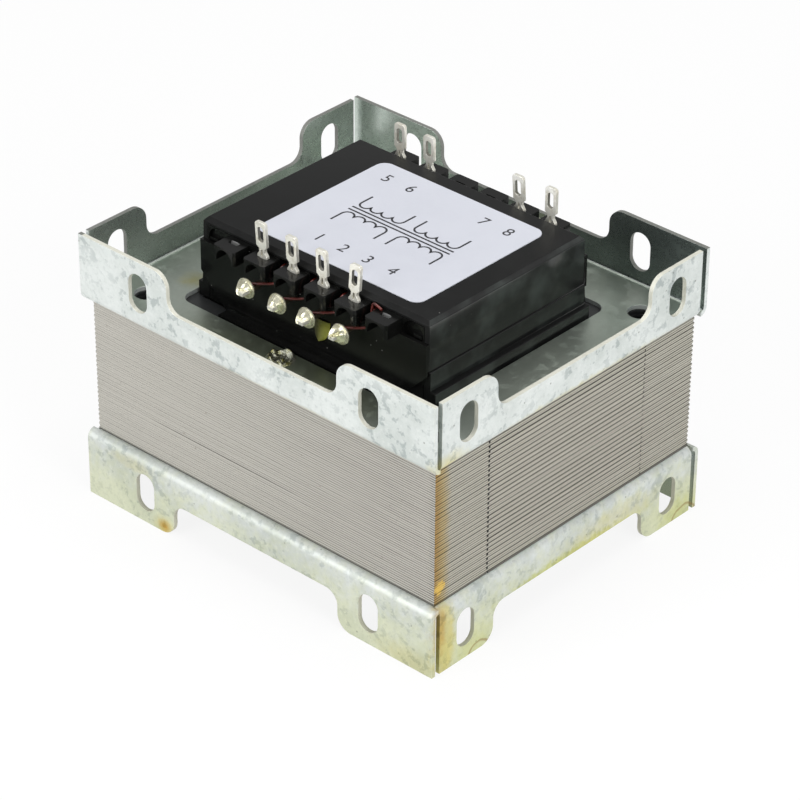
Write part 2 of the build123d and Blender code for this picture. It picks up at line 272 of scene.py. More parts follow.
def zincPlate(name, level, smudged, film, stains, arcs):
    made, shader, place = newMaterial(name)
    across = axes(place)
    plate, inner, cut = (painted(place, label) for label in ("wellFace", "innerFace", "cutEdge"))
    smudge = withGrime(place, *zinc["grime"])
    broad = clouds(place, *zinc["broad"])
    mottle = clouds(place, *zinc["mottle"])
    uneven = weighted(zinc["uneven"], inner, plate)
    colour = mixColour(fade(broad, *zinc["greyStep"]), zinc["pale"], zinc["grey"])
    share = fade(broad, *zinc["smudgeStep"], smudged / 3, smudged)
    dark = times(smudge["Patches"], share, weighted(zinc["onPlate"], plate), uneven)
    colour = mixColour(dark, colour, zinc["smudge"])
    for start, end, tint in zinc["spots"]:
        share = times(fade(mottle, start, end, 0.0, zinc["spotShare"]), uneven)
        colour = mixColour(share, colour, tint)
    colour = overlaid(colour, times(smudge["Specks"], uneven), *zinc["speck"])
    rear = fadeOver(across[1], zinc["rearY"])
    shade = times(inner, rear, fadeOver(across[0], zinc["rearX"]))
    # after the level come painted shade and reflection: the plates darker and olive for the dark surroundings
    # they reflect, the flanges' inner sides darker, and the rear inner side darker towards +X
    tints = ((1.0, level), (plate, zinc["plateShade"]), (inner, zinc["innerShade"]), (shade, zinc["rearShade"]))
    for share, tint in tints:
        colour = tinted(share, colour, tint)
    if film:
        tint, amount, low, high, frontShare = film
        wander = minus(clouds(place, *zinc["wander"]), 0.5)
        level = plus(across[2], times(wander, zinc["wanderReach"] * mm))
        mask = fadeOver(level, (low, high), amount, 0.0)
        mask = times(mask, fadeOver(across[1], zinc["frontY"], frontShare, 1.0))
        colour = tinted(mask, colour, tint)
    for tint, amount, *where in stains:
        mask = withStain(place, *where)["Mask"]
        colour = tinted(times(mask, amount), colour, tint)
    for middle, reach in arcs:
        line = withStain(place, middle, reach, *zinc["arcRag"])["Edge"]
        colour = overlaid(colour, line, *zinc["arc"])
    # painted shade: the cut edges on the two far sides, rear and left, are darker
    far = sums("MAXIMUM", rear, fadeOver(across[0], zinc["leftX"], 1.0, 0.0))
    cutColour = mixColour(far, zinc["nearCut"], zinc["farCutShade"])
    cutShare = times(cut, fade(far, 0.0, 1.0, *zinc["cutShare"]))
    metal = weighted(zinc["metal"], plate, inner, cut)
    rough = weighted(zinc["rough"], plate, inner, smudge["Patches"], smudge["Grain"])
    surface(shader, mixColour(cutShare, colour, cutColour), metal, rough)
    relief = weighted(zinc["relief"], mottle, broad)
    bumps(shader, relief, zinc["depth"], times(uneven, zinc["strength"]))
    return made


# stains: tint, amount, middle, reach, how ragged, size of the rags, core
amber = (0.80, 0.50, 0.13)
straw = (1.0, 0.86, 0.42)
lime = (0.97, 0.96, 0.62)
moss = (0.86, 0.86, 0.40)
olive = (0.62, 0.63, 0.50)
upperStains = [
    (straw, 0.8, (49, -38, 48.0), (3, 8, 5.0), 0.7, 2.5, 0.1),
    (straw, 0.6, (49.4, 4, 48.0), (3, 36, 2.4), 1.2, 2.0, 0.1),
    (straw, 0.4, (10, -42, 48.0), (40, 3, 1.6), 1.2, 2.0, 0.1),
    # painted reflection of the dark cover: an olive darkening over the front strip of the upper plate
    (olive, 0.8, (2, -33, 49), (36, 9.5, 0.8), 0.5, 6.0, 0.4),
    (straw, 0.75, (-36.6, -21.5, 49), (4.5, 4.2, 0.8), 0.9, 3.0, 0.0),
    # painted reflection of the dark cover: a faint olive darkening over the +X strip of the upper plate
    (olive, 0.12, (38, -6, 49), (9, 28, 0.8), 0.8, 6.0, 0.3),
]
lowerStains = [
    (straw, 0.85, (49.4, -38.5, 8), (4, 4.4, 14), 0.8, 2.0, 0.4),
    (amber, 0.6, (49.4, -39.8, 11), (3, 2.6, 9), 1.2, 1.6, 0.2),
    (moss, 0.8, (49.4, 0, 7.6), (4, 26, 3.0), 1.3, 1.3, 0.5),
    (straw, 0.35, (49.4, 12, 10), (4, 22, 5), 1.0, 3.0, 0.2),
    (moss, 0.55, (49.4, 36, 1), (4, 9, 7), 1.2, 1.6, 0.2),
    (moss, 0.45, (49.4, -30, 1), (4, 8, 7), 1.2, 1.6, 0.2),
    (straw, 0.4, (44, -42, 1.5), (14, 4, 5), 0.9, 2.0, 0.1),
    (straw, 0.3, (-36, -42, 13), (9, 4, 2.4), 0.8, 2.0, 0.3),
    (straw, 0.9, (-26.4, -42, 1.0), (4.6, 3, 4.2), 0.5, 2.0, 0.0),
    (amber, 0.9, (-26.6, -42, 1.6), (2.5, 3, 2.3), 0.7, 1.2, 0.0),
]
lowerArcs = [((49.4, -28, -1.6), (4, 3.6, 3.6)), ((49.4, 38, -1.2), (4, 4.2, 3.8))]
lowerFilm = (lime, 0.8, 3.0, 19.0, 0.8)
zincUpper = zincPlate("zinc_upper", (0.98, 0.98, 0.98), 0.75, None, upperStains, [])
zincLower = zincPlate("zinc_lower", (0.88, 0.88, 0.88), 0.55, lowerFilm, lowerStains, lowerArcs)


# sheet edges: warm grey, a tone and a dark line for each sheet, streaks along it, amber varnish at the front
# corner, painted shadow along the bottom and top of the stack; the flat of a sheet and the faces inside the
# core are dark oxide with painted shade
sheet = {
    "grime": (5.0, 0.5, 0.8, 1.7, 0.3, 0.12),
    "dark": (0.415, 0.40, 0.358), "light": (0.62, 0.60, 0.55), "tones": (0.0, 0.16, 0.22),
    "streakScale": (90, 90, 1800), "streak": (1.0, 3.0, 0.6),
    "speck": (0.5, (0.16, 0.13, 0.1)), "smudge": (0.2, (0.43, 0.41, 0.35)),
    "line": (0.13, 0.125, 0.11), "lineStep": (0.55, 0.72), "lineBreaks": (0.3, 0.7, 0.7, 1.2),
    "longLine": ((-50, 48), 0.04, 0.85), "endLine": 0.4, "cornerLine": ((46.0, 47.6), 0.0, 0.7),
    "shadow": (0.05, 0.05, 0.045), "foot": ((0.2, 0.55), 0.85, 0.0), "head": ((-0.6, -0.3), 0.0, 0.7),
    "gap": (0.8, (0.05, 0.045, 0.04)), "gapAt": ((-10, -40, 25.25), (25, 2, 0.13), 0.6, 5.0, 0.7),
    "endTint": (0.94, 0.94, 0.88), "flat": (0.042, 0.044, 0.045),
    "runs": (((0.98, 0.80, 0.45), (48, -40.2, 32), (9, 5.2, 60), 0.35, 3.0, 0.5),
             ((0.84, 0.65, 0.36), (48, -40.2, 32), (9, 3.0, 60), 0.8, 3.0, 0.1)),
    "bead": (0.8, (0.70, 0.46, 0.08)), "beadAt": ((48, -38.4, 19.6), (9, 1.7, 1.9), 1.6, 0.7, 0.6),
    "metal": 0.45, "rough": (0.3, 0.8, 0.38, 0.56), "bumps": (0.03, 0.5),
}


def coreSheets(low, high, pitch):
    made, shader, place = newMaterial("core_sheets")
    across = axes(place)
    long, end, flat = (painted(place, label) for label in ("longFace", "endFace", "oxideOrShadeFace"))
    drawn = take(place.id_data, "ShaderNodeMapping", {"Vector": place, "Scale": sheet["streakScale"]})
    streak = clouds(drawn, *sheet["streak"])
    dots = withGrime(place, *sheet["grime"])
    bright = weighted(sheet["tones"], painted(place, "sheetTone"), streak)
    colour = mixColour(bright, sheet["dark"], sheet["light"])
    colour = overlaid(colour, dots["Specks"], *sheet["speck"])
    colour = overlaid(colour, dots["Patches"], *sheet["smudge"])
    step = sums("FRACT", sums("DIVIDE", minus(across[2], low), pitch))
    strength = times(long, fadeOver(across[0], *sheet["longLine"]))
    strength = plus(strength, times(end, sheet["endLine"]))
    strength = plus(strength, fadeOver(across[0], *sheet["cornerLine"]))
    strength = times(strength, fade(streak, *sheet["lineBreaks"]))
    line = times(fade(step, *sheet["lineStep"]), strength)
    colour = mixColour(line, colour, sheet["line"])
    foot = fadeOver(minus(across[2], low), *sheet["foot"])
    head = fadeOver(minus(across[2], high), *sheet["head"])
    colour = mixColour(plus(foot, head), colour, sheet["shadow"])
    gap = withStain(place, *sheet["gapAt"])["Mask"]
    colour = overlaid(colour, gap, *sheet["gap"])
    colour = tinted(end, colour, sheet["endTint"])
    for tint, *where in sheet["runs"]:
        run = withStain(place, *where)["Mask"]
        colour = tinted(times(run, end), colour, tint)
    bead = withStain(place, *sheet["beadAt"])["Mask"]
    colour = overlaid(colour, times(bead, end), *sheet["bead"])
    # dark oxide with painted shade on the flat of the sheets and on the faces inside the core
    colour = mixColour(flat, colour, sheet["flat"])
    surface(shader, colour, sheet["metal"], fade(streak, *sheet["rough"]))
    bumps(shader, streak, *sheet["bumps"])
    return made


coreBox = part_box("laminated_core")
coreLow, coreHigh = (corner.z for corner in coreBox)
sheetCount = 58
sheetPitch = (coreHigh - coreLow) / sheetCount
coreLook = coreSheets(coreLow, coreHigh, sheetPitch)


# black mouldings, half gloss, with dust; the cover's end walls have patches of painted grey-green reflection
# and a coat
plastic = {
    "grime": (7.0, 0.45, 0.75, 1.5, 0.16),
    "paler": 1.9, "patchShare": 0.5, "dust": (0.5, (0.42, 0.42, 0.40)), "patchRough": 0.06,
    "paintedReflection": (0.8, (0.032, 0.038, 0.035)), "reflectionClouds": (110, 3.0, 0.5), "reflectionStep": (0.42, 0.7),
    "coat": 0.95, "coatRough": 0.12, "pale": (0.20, 0.20, 0.20), "paleRag": (0.3, 1.0, 0.7),
    "bumps": (0.012, 0.35),
}


def blackPlastic(name, base, rough, shine, dust, walls=False, pale=()):
    made, shader, place = newMaterial(name)
    fine = withGrime(place, *plastic["grime"], dust)
    paler = [v * plastic["paler"] for v in base]
    colour = overlaid(base, fine["Patches"], plastic["patchShare"], paler)
    colour = overlaid(colour, fine["Specks"], *plastic["dust"])
    if walls:
        wall = painted(place, "wallFace")
        # painted reflection: grey-green patches on the cover's end walls
        paintedReflection = fade(clouds(place, *plastic["reflectionClouds"]), *plastic["reflectionStep"])
        colour = overlaid(colour, times(paintedReflection, wall), *plastic["paintedReflection"])
        plug(shader.inputs["Coat Weight"], times(wall, plastic["coat"]))
        shader.inputs["Coat Roughness"].default_value = plastic["coatRough"]
    # painted highlight: pale patches where they are given
    for middle, reach in pale:
        mask = withStain(place, middle, reach, *plastic["paleRag"])["Mask"]
        colour = mixColour(mask, colour, plastic["pale"])
    surface(shader, colour, 0.0, weighted((rough, plastic["patchRough"]), fine["Patches"]))
    shader.inputs["Specular IOR Level"].default_value = shine
    bumps(shader, fine["Grain"], *plastic["bumps"])
    return made


# painted highlights in the post slots, where their walls catch the light
slotHighlights = [((x, -24.6, 64.6), (1.7, 0.25, 1.3)) for x in (-21, 21)]
coverLook = blackPlastic("cover_plastic", (0.0052, 0.0054, 0.0053), 0.35, 0.19, 0.07, walls=True)
bobbinLook = blackPlastic("bobbin_plastic", (0.0044, 0.0045, 0.0042), 0.2, 0.30, 0.1, pale=slotHighlights)


# tinned brass and solder; below the level dip, in mm, dark varnish covers the tag as far as the solder
tinned = {
    "colours": ((0.90, 0.885, 0.80), (0.70, 0.67, 0.57)),
    "metal": 0.62, "rough": 0.3, "patchSize": 1.6, "depth": 0.025, "dip": 62.4,
}
soldered = {
    "colours": ((0.76, 0.74, 0.58), (0.44, 0.415, 0.26)),
    "metal": 0.84, "rough": 0.22, "patchSize": 1.1, "depth": 0.016, "dip": 0.0,
}
bright = {
    "grime": (0.42, 0.72, 1.2, 0.2, 0.15),
    "speck": (0.5, (0.18, 0.16, 0.12)), "varnish": (0.03, 0.026, 0.016), "dipOver": 0.3,
    "tailY": (28.5, 29.0), "eye": (0.75, (0.10, 0.095, 0.07)), "patchRough": 0.15, "strength": 0.6,
}


def brightMetal(name, look):
    made, shader, place = newMaterial(name)
    film = withGrime(place, look["patchSize"], *bright["grime"])
    colour = mixColour(film["Patches"], *look["colours"])
    colour = overlaid(colour, film["Specks"], *bright["speck"])
    across = axes(place)
    above = fadeOver(across[2], (look["dip"] - bright["dipOver"], look["dip"]))
    tail = fadeOver(sums("ABSOLUTE", across[1]), bright["tailY"])
    bare = sums("MAXIMUM", above, tail)
    colour = mixColour(bare, bright["varnish"], colour)
    # painted shade on the wall of the tag's eye
    colour = overlaid(colour, painted(place, "shadedEyeWall"), *bright["eye"])
    rough = weighted((look["rough"], bright["patchRough"]), film["Patches"])
    surface(shader, colour, times(bare, look["metal"]), rough)
    bumps(shader, film["Grain"], look["depth"], bright["strength"])
    return made


tagLook = brightMetal("tinned_brass", tinned)
solderLook = brightMetal("solder", soldered)


# weld: bright, with an olive heat tint
heated = {
    "grime": (1.8, 0.4, 0.65, 0.9, 0.22, 0.3),
    "colours": ((0.46, 0.465, 0.39), (0.17, 0.16, 0.05)), "specks": (0.7, (0.06, 0.055, 0.04)),
    "metal": 1.0, "rough": (0.16, 0.4), "bumps": (0.08, 0.7),
}


def weldMetal():
    return filmed("weld_metal", heated)


# red enamel over copper
enamel = {
    "grime": (1.5, 0.4, 0.7, 0.9, 0.2, 0.2),
    "colours": ((0.12, 0.015, 0.010), (0.045, 0.006, 0.005)), "metal": 0.35, "coat": 0.6,
    "rough": (0.22, 0.4),
}


def enamelledWire():
    return filmed("enamelled_wire", enamel)


# wound turns under the tape
turns = {
    "wave": {"Scale": 120.0, "Distortion": 0.6, "Detail": 1.0}, "metal": 0.35, "rough": (0.5, 0.28),
    "colours": ((0.16, 0.015, 0.01), (0.45, 0.07, 0.03)), "depth": 0.3,
}


def woundTurns():
    made, shader, place = newMaterial("wound_turns")
    inputs = {"Vector": place, **turns["wave"]}
    wave = put(place.id_data, "ShaderNodeTexWave", inputs, bands_direction="Y").outputs["Fac"]
    rough = fade(wave, 0.0, 1.0, *turns["rough"])
    surface(shader, mixColour(wave, *turns["colours"]), turns["metal"], rough)
    bumps(shader, wave, turns["depth"])
    return made


# yellow film tape
taped = {
    "grime": (2.4, 0.35, 0.7, 1.4, 0.2, 0.1),
    "colours": ((0.25, 0.255, 0.035), (0.16, 0.17, 0.025)), "shaded": (0.035, 0.034, 0.012),
    "metal": 0.0, "rough": (0.25, 0.42), "bumps": (0.02, 0.5),
}


def coilTape(name, shade=None):
    return filmed(name, taped, shade)


# pale film of the label, and its ink
pale = {
    "grime": (12.0, 0.4, 0.8, 2.5, 0.12, 0.05),
    "colours": ((0.60, 0.615, 0.675), (0.57, 0.585, 0.645)), "specks": (0.4, (0.3, 0.3, 0.32)),
    "metal": 0.0, "rough": (0.36, 0.46), "bumps": (0.004, 0.3),
}
printed = {
    "worn": (1500, 3.0, 0.6), "wornStep": (0.5, 0.8), "rough": (0.35, 0.5),
    "colours": ((0.02, 0.02, 0.024), (0.06, 0.06, 0.07)),
}


def labelFilm():
    return filmed("label_film", pale)


def labelInk():
    made, shader, place = newMaterial("label_ink")
    worn = clouds(place, *printed["worn"])
    colour = mixColour(fade(worn, *printed["wornStep"]), *printed["colours"])
    surface(shader, colour, 0.0, grainRough(worn, *printed["rough"]))
    return made


weldLook = weldMetal()
wireLook = enamelledWire()
turnsLook = woundTurns()
tapeLook = coilTape("coil_tape")
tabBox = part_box("tape_tab")
tabLook = coilTape("tape_end", (tabBox[0].x + 0.6 * mm, tabBox[1].x - 0.3 * mm))
labelLook = labelFilm()
inkLook = labelInk()
print("materials made")


# small helpers for meshes
def faceOut(bm):
    bmesh.ops.recalc_face_normals(bm, faces=bm.faces[:])


def meshFrom(bm, smoothAngle=30):
    mesh = bpy.data.meshes.new("shape")
    bm.to_mesh(mesh)
    bm.free()
    mesh.polygons.foreach_set("use_smooth", [True] * len(mesh.polygons))
    mesh.set_sharp_from_angle(angle=radians(smoothAngle))
    return mesh


def newObject(name, data):
    made = bpy.data.objects.new(name, data)
    scene.collection.objects.link(made)
    return made


def addPiece(name, mesh, look, slotName, *stands):
    mesh.name = name
    mesh.materials.clear()
    mesh.materials.append(look)
    piece = newObject(name, mesh)
    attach(piece, "root")
    if stands:
        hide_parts(*stands)


def plainMesh(holder):
    # the holder's evaluated shape as a mesh of its own
    bpy.context.view_layer.update()
    shape = holder.evaluated_get(bpy.context.evaluated_depsgraph_get())
    mesh = bpy.data.meshes.new_from_object(shape)
    bpy.data.objects.remove(holder)
    return mesh


def mergedCopy(nodeName):
    # the node's shape with double points merged and flat faces joined
    bm = bmesh.new()
    bm.from_mesh(nodes[nodeName].data)
    bmesh.ops.remove_doubles(bm, verts=bm.verts[:], dist=0.002 * mm)
    flat = radians(0.6)
    bmesh.ops.dissolve_limit(bm, angle_limit=flat, verts=bm.verts[:], edges=bm.edges[:])
    return bm


def bevelled(bm, edge, angle):
    # sharp edges taken off
    holder = newObject("holder", meshFrom(bm))
    bevel = holder.modifiers.new("edges", "BEVEL")
    bevel.width = edge * mm
    bevel.segments = 2
    bevel.limit_method = "ANGLE"
    bevel.angle_limit = radians(angle)
    bevel.harden_normals = True
    return plainMesh(holder)


def softCopy(nodeName, edge):
    return bevelled(mergedCopy(nodeName), edge, 30)


def storeOnFaces(mesh, label, test):
    values = [float(test(face)) for face in mesh.polygons]
    mesh.attributes.new(label, "FLOAT", "FACE").data.foreach_set("value", values)


def facing(axis):
    return lambda face: abs(face.normal[axis]) > 0.7


def flatPlate(loops, low, high):
    # a sheet with holes: the first loop is its outline
    bm = bmesh.new()
    for loop in loops:
        ring = [bm.verts.new((x * mm, y * mm, low * mm)) for x, y in loop]
        for a, b in zip(ring, ring[1:] + ring[:1]):
            bm.edges.new((a, b))
    bmesh.ops.triangle_fill(bm, edges=bm.edges[:], use_beauty=True)
    made = bmesh.ops.extrude_face_region(bm, geom=bm.faces[:])
    top = [v for v in made["geom"] if isinstance(v, bmesh.types.BMVert)]
    bmesh.ops.translate(bm, verts=top, vec=(0, 0, (high - low) * mm))
    faceOut(bm)
    return bm


def ringOf(x, y, radius, count):
    angles = [k * tau / count for k in range(count)]
    return [(x + radius * cos(a), y + radius * sin(a)) for a in angles]


def skin(bm, first, rings, last):
    # faces from one end point, over the rings, to the other end point
    count = len(rings[0])
    spans = [(k, (k + 1) % count) for k in range(count)]
    for k, j in spans:
        bm.faces.new((first, rings[0][k], rings[0][j]))
    for inner, outer in zip(rings, rings[1:]):
        for k, j in spans:
            bm.faces.new((inner[k], outer[k], outer[j], inner[j]))
    for k, j in spans:
        bm.faces.new((last, rings[-1][j], rings[-1][k]))


# core: E and I sheets laid in turn from each end
core = {
    "length": 96.0, "width": 80.0, "tongue": 32.0, "leg": 16.0, "yoke": 16.0, "thick": 0.52,
    "joint": 0.45, "barShort": 0.06, "holeX": 40.0, "holeY": 32.0, "holeRadius": 2.8, "holeSides": 10,
    "oddScale": (0.9966, 0.9998, 1.0), "oddShift": (0.075, 0.0, 0.0), "barShift": (0.0, -0.25, 0.0),
    "loose": (0.03, 0.012, 0.0), "seed": 11, "toneSeed": 7, "inside": 2.0,
}


def sheetPair():
    half, side, tongue = core["length"] / 2, core["width"] / 2, core["tongue"] / 2
    window, ends = half - core["leg"], side - core["yoke"]
    legs, bar = -ends, half - core["barShort"]
    top = legs - core["joint"]
    leftE = [(-half, side), (-half, legs), (-window, legs), (-window, ends), (-tongue, ends), (-tongue, legs)]
    outlineE = leftE + [(-x, y) for x, y in reversed(leftE)]
    outlineI = [(-bar, -side), (bar, -side), (bar, top), (-bar, top)]
    both = bmesh.new()
    for outline, holeY in ((outlineE, core["holeY"]), (outlineI, -core["holeY"])):
        places = (-core["holeX"], core["holeX"])
        holes = [ringOf(x, holeY, core["holeRadius"], core["holeSides"]) for x in places]
        spare = meshFrom(flatPlate([outline] + holes, 0, core["thick"]))
        both.from_mesh(spare)
        bpy.data.meshes.remove(spare)
    return meshFrom(both)


def stackTree():
    inputs = ["Geometry:Geometry", "Sheets:Int", "Pitch", "Base", "Odd Scale:Vector", "Odd Shift:Vector",
              "Bar Shift:Vector", "Loose:Vector", "Joint", "Seed:Int", "Look:Material"]
    tree, given, out = newGroup("sheet_stack", inputs, ["Geometry:Geometry"], "GeometryNodeTree")
    step = take(tree, "ShaderNodeCombineXYZ", {"Z": given["Pitch"]})
    start = take(tree, "ShaderNodeCombineXYZ", {"Z": given["Base"]})
    inputs = {"Count": given["Sheets"], "Start Location": start, "Offset": step}
    line = take(tree, "GeometryNodeMeshLine", inputs, mode="OFFSET")
    odd = sums("MODULO", tree.nodes.new("GeometryNodeInputIndex").outputs[0], 2.0)
    turn = take(tree, "ShaderNodeCombineXYZ", {"Z": times(odd, pi)})
    size = put(tree, "ShaderNodeMix", {0: odd, 4: (1, 1, 1), 5: given["Odd Scale"]}, data_type="VECTOR")
    where = axes(tree.nodes.new("GeometryNodeInputPosition").outputs[0])[1]
    isBar = take(tree, "FunctionNodeCompare", {0: where, 1: given["Joint"]}, operation="LESS_THAN")
    parts = put(tree, "GeometryNodeSeparateGeometry", {0: given["Geometry"], 1: isBar}, domain="FACE").outputs
    streams = tree.nodes.new("GeometryNodeJoinGeometry")
    back = vectors("SCALE", {0: given["Loose"], "Scale": -1.0})[0]
    # the I comes first out of the split, then the E
    for number, (part, own) in enumerate(zip(parts, ("Bar Shift", "Odd Shift"))):
        inputs = {0: back, 1: given["Loose"], "Seed": plus(given["Seed"], float(number))}
        shift = take(tree, "FunctionNodeRandomValue", inputs, data_type="FLOAT_VECTOR")
        aside = vectors("SCALE", {0: given[own], "Scale": odd})[0]
        moved = vectors("ADD", {0: shift, 1: aside})[0]
        points = take(tree, "GeometryNodeSetPosition", {"Geometry": line, "Offset": moved})
        inputs = {"Points": points, "Instance": part, "Rotation": turn}
        laid = put(tree, "GeometryNodeInstanceOnPoints", inputs)
        if own == "Odd Shift":
            plug(laid.inputs["Scale"], size.outputs[1])
        seed = plus(given["Seed"], float(number + core["toneSeed"]))
        tone = put(tree, "FunctionNodeRandomValue", {"Seed": seed}, data_type="FLOAT").outputs[1]
        inputs = {"Geometry": laid.outputs[0], "Name": "sheetTone", "Value": tone}
        toned = put(tree, "GeometryNodeStoreNamedAttribute", inputs, data_type="FLOAT", domain="INSTANCE")
        plug(streams.inputs[0], toned.outputs[0])
    real = take(tree, "GeometryNodeRealizeInstances", {0: streams.outputs[0]})
    shown = take(tree, "GeometryNodeSetMaterial", {"Geometry": real, "Material": given["Look"]})
    plug(out[0], shown)
    return tree


def isOxideOrShade(face):
    # the flat of a sheet, and what lies inside the core: dark oxide with painted shade
    x, y, z = (abs(v) / mm for v in face.center)
    within = x < core["length"] / 2 - core["inside"] and y < core["width"] / 2 - core["inside"]
    return within or abs(face.normal.z) > 0.7


def buildCore():
    holder = newObject("holder", sheetPair())
    stack = holder.modifiers.new("stack", "NODES")
    stack.node_group = stackTree()
    joint = -(core["width"] / 2 - core["yoke"]) - core["joint"] / 2
    values = {"Sheets": sheetCount, "Pitch": sheetPitch, "Base": coreLow, "Joint": joint * mm,
              "Odd Scale": core["oddScale"], "Seed": core["seed"], "Look": coreLook}
    for label, key in (("Odd Shift", "oddShift"), ("Bar Shift", "barShift"), ("Loose", "loose")):
        values[label] = [v * mm for v in core[key]]
    for item in stack.node_group.interface.items_tree:
        if item.in_out == "INPUT" and item.name in values:
            stack[item.identifier] = values[item.name]
    mesh = plainMesh(holder)
    storeOnFaces(mesh, "oxideOrShadeFace", isOxideOrShade)
    storeOnFaces(mesh, "longFace", facing(1))
    storeOnFaces(mesh, "endFace", facing(0))
    addPiece("sheet_stack", mesh, coreLook, "core_sheets", "laminated_core")


buildCore()
print("core stacked")


# pressed frames
frames = {"edge": 0.12, "flangeX": 48.3, "flangeY": 41.0, "bend": 2.3, "thick": 1.0, "slack": (0.1, 0.2)}
plates = {"upper": coreHigh / mm + frames["thick"], "lower": coreLow / mm - frames["thick"]}


def isCut(face):
    # a sheared edge: in a flange, clear of the bend, and not facing as the flange does
    x, y, z = (abs(v) / mm for v in face.center)
    clear = z > coreHigh / mm + frames["bend"] or z < coreLow / mm - frames["bend"]
    facesY = abs(face.normal.y) > 0.5
    inY = y > frames["flangeY"] and abs(face.normal.y) < 0.5
    inX = x > frames["flangeX"] and abs(face.normal.x) < 0.5
    return clear and (inY or inX) and not (inX and y > frames["flangeY"] and facesY)


def isPlate(face):
    level = face.center.z / mm
    return abs(face.normal.z) > 0.7 and min(abs(level - z) for z in plates.values()) < frames["slack"][1]


def isInner(face):
    # a flange's inner side
    x, y, z = (v / mm for v in face.center)
    inY = abs(y) > frames["flangeY"] - frames["slack"][0] and face.normal.y * y < -0.5 * abs(y)
    inX = abs(x) > frames["flangeX"] - frames["slack"][0] and face.normal.x * x < -0.5 * abs(x)
    return inY or inX


for level, look in (("upper", zincUpper), ("lower", zincLower)):
    mesh = softCopy(f"{level}_frame", frames["edge"])
    for label, test in (("cutEdge", isCut), ("wellFace", isPlate), ("innerFace", isInner)):
        storeOnFaces(mesh, label, test)
    addPiece(f"{level}_pressing", mesh, look, "zinc_plate", f"{level}_frame")
print("frames pressed")


# welds: a plug through the plate with an uneven cap, a dome to one side and a rim round it;
# what is uneven has an amount, a scale and a step from weld to weld
weld = {
    "places": ((-1.5, -32.0), (-1.5, 32.0)), "hole": 2.4, "radius": 3.3, "sides": 40, "rings": 14,
    "least": 0.02, "dome": 0.12, "domeX": 0.22, "domeY": -0.12, "domeReach": 0.55,
    "rim": 0.85, "rimAt": 0.74, "rimWidth": 0.16, "rimLeast": 0.1,
    "swell": (1.1, 1.7, 7.1), "lump": (0.35, 3.2, 3.7), "wave": (0.09, 1.6, 5.3), "lowerFirst": 3,
}


def unevenness(kind, x, y, number):
    amount, scale, step = weld[kind]
    return amount * noise.noise(Vector((x * scale, y * scale, number * step)))


def weldHeight(share, angle, number):
    ax, ay = cos(angle), sin(angle)
    x, y = share * ax, share * ay
    away = hypot(x - weld["domeX"], y - weld["domeY"]) / weld["domeReach"]
    dome = weld["dome"] * max(0.0, 1 - away ** 2)
    swell = max(weld["rimLeast"], 1 + unevenness("swell", ax, ay, number))
    rim = weld["rim"] * exp(-((share - weld["rimAt"]) / weld["rimWidth"]) ** 2) * swell
    lump = unevenness("lump", x, y, number)
    return max(weld["least"], dome + rim + lump * (1 - share ** 3))


def weldCap(bm, x, y, plate, up, number):
    # rings from the middle outwards, then down the plug to close it
    def spot(radius, angle, height):
        place = (x + radius * cos(angle), y + radius * sin(angle), plate + up * height)
        return bm.verts.new(Vector(place) * mm)

    angles = [k * tau / weld["sides"] for k in range(weld["sides"])]
    rings = []
    top = spot(0, 0, weldHeight(0, 0, number))
    for k in range(1, weld["rings"] + 1):
        share = k / weld["rings"]
        radius = weld["radius"] * share
        ring = []
        for angle in angles:
            wave = 1 + unevenness("wave", cos(angle), sin(angle), number)
            height = weldHeight(share, angle, number) if share < 1 else 0.0
            ring.append(spot(radius * (wave if radius > weld["hole"] else 1), angle, height))
        rings.append(ring)
    for height in (0.0, -frames["thick"]):
        rings.append([spot(weld["hole"], angle, height) for angle in angles])
    skin(bm, top, rings, spot(0, 0, -frames["thick"]))


for level, up, first in (("upper", 1, 0), ("lower", -1, weld["lowerFirst"])):
    bm = bmesh.new()
    for number, (x, y) in enumerate(weld["places"]):
        weldCap(bm, x, y, plates[level], up, first + number)
    faceOut(bm)
    mesh = meshFrom(bm, 60)
    addPiece(f"{level}_weld_caps", mesh, weldLook, "weld_metal", f"{level}_frame_welds")
print("welds made")


# covers: round upright corners at the ends, small edges elsewhere
cover = {"corner": 0.9, "cornerSteps": 4, "edge": 0.28, "sharp": 25, "band": 6.0, "endReach": 3.0,
         "outerX": 30.9, "shortest": 3.0, "faceSlack": 0.02, "upright": 0.01}
bobbinEdge = 0.12


def coverShell(nodeName):
    bm = mergedCopy(nodeName)
    low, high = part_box(nodeName)
    middle = (low.z + high.z) / 2
    wide = max(v.co.x for v in bm.verts if abs(v.co.z - middle) < cover["band"] * mm)
    least = max(wide - cover["endReach"] * mm, cover["outerX"] * mm)

    def isCorner(edge):
        a, b = (v.co for v in edge.verts)
        onFace = all(abs(abs(p.y) - high.y) < cover["faceSlack"] * mm and abs(p.x) > least for p in (a, b))
        upright = abs(a.x - b.x) < cover["upright"] * mm
        return onFace and upright and edge.calc_length() > cover["shortest"] * mm

    corners = [edge for edge in bm.edges if isCorner(edge)]
    bmesh.ops.bevel(bm, geom=corners, offset=cover["corner"] * mm, offset_type="OFFSET",
                    segments=cover["cornerSteps"], profile=0.5, affect="EDGES", clamp_overlap=True)
    return bevelled(bm, cover["edge"], cover["sharp"])


for level in ("upper", "lower"):
    mesh = coverShell(f"{level}_cover")
    storeOnFaces(mesh, "wallFace", facing(0))
    addPiece(f"{level}_coil_cover", mesh, coverLook, "cover_plastic", f"{level}_cover")
addPiece("terminal_bobbin", softCopy("bobbin", bobbinEdge), bobbinLook, "bobbin_plastic", "bobbin")
print("covers and bobbin made")


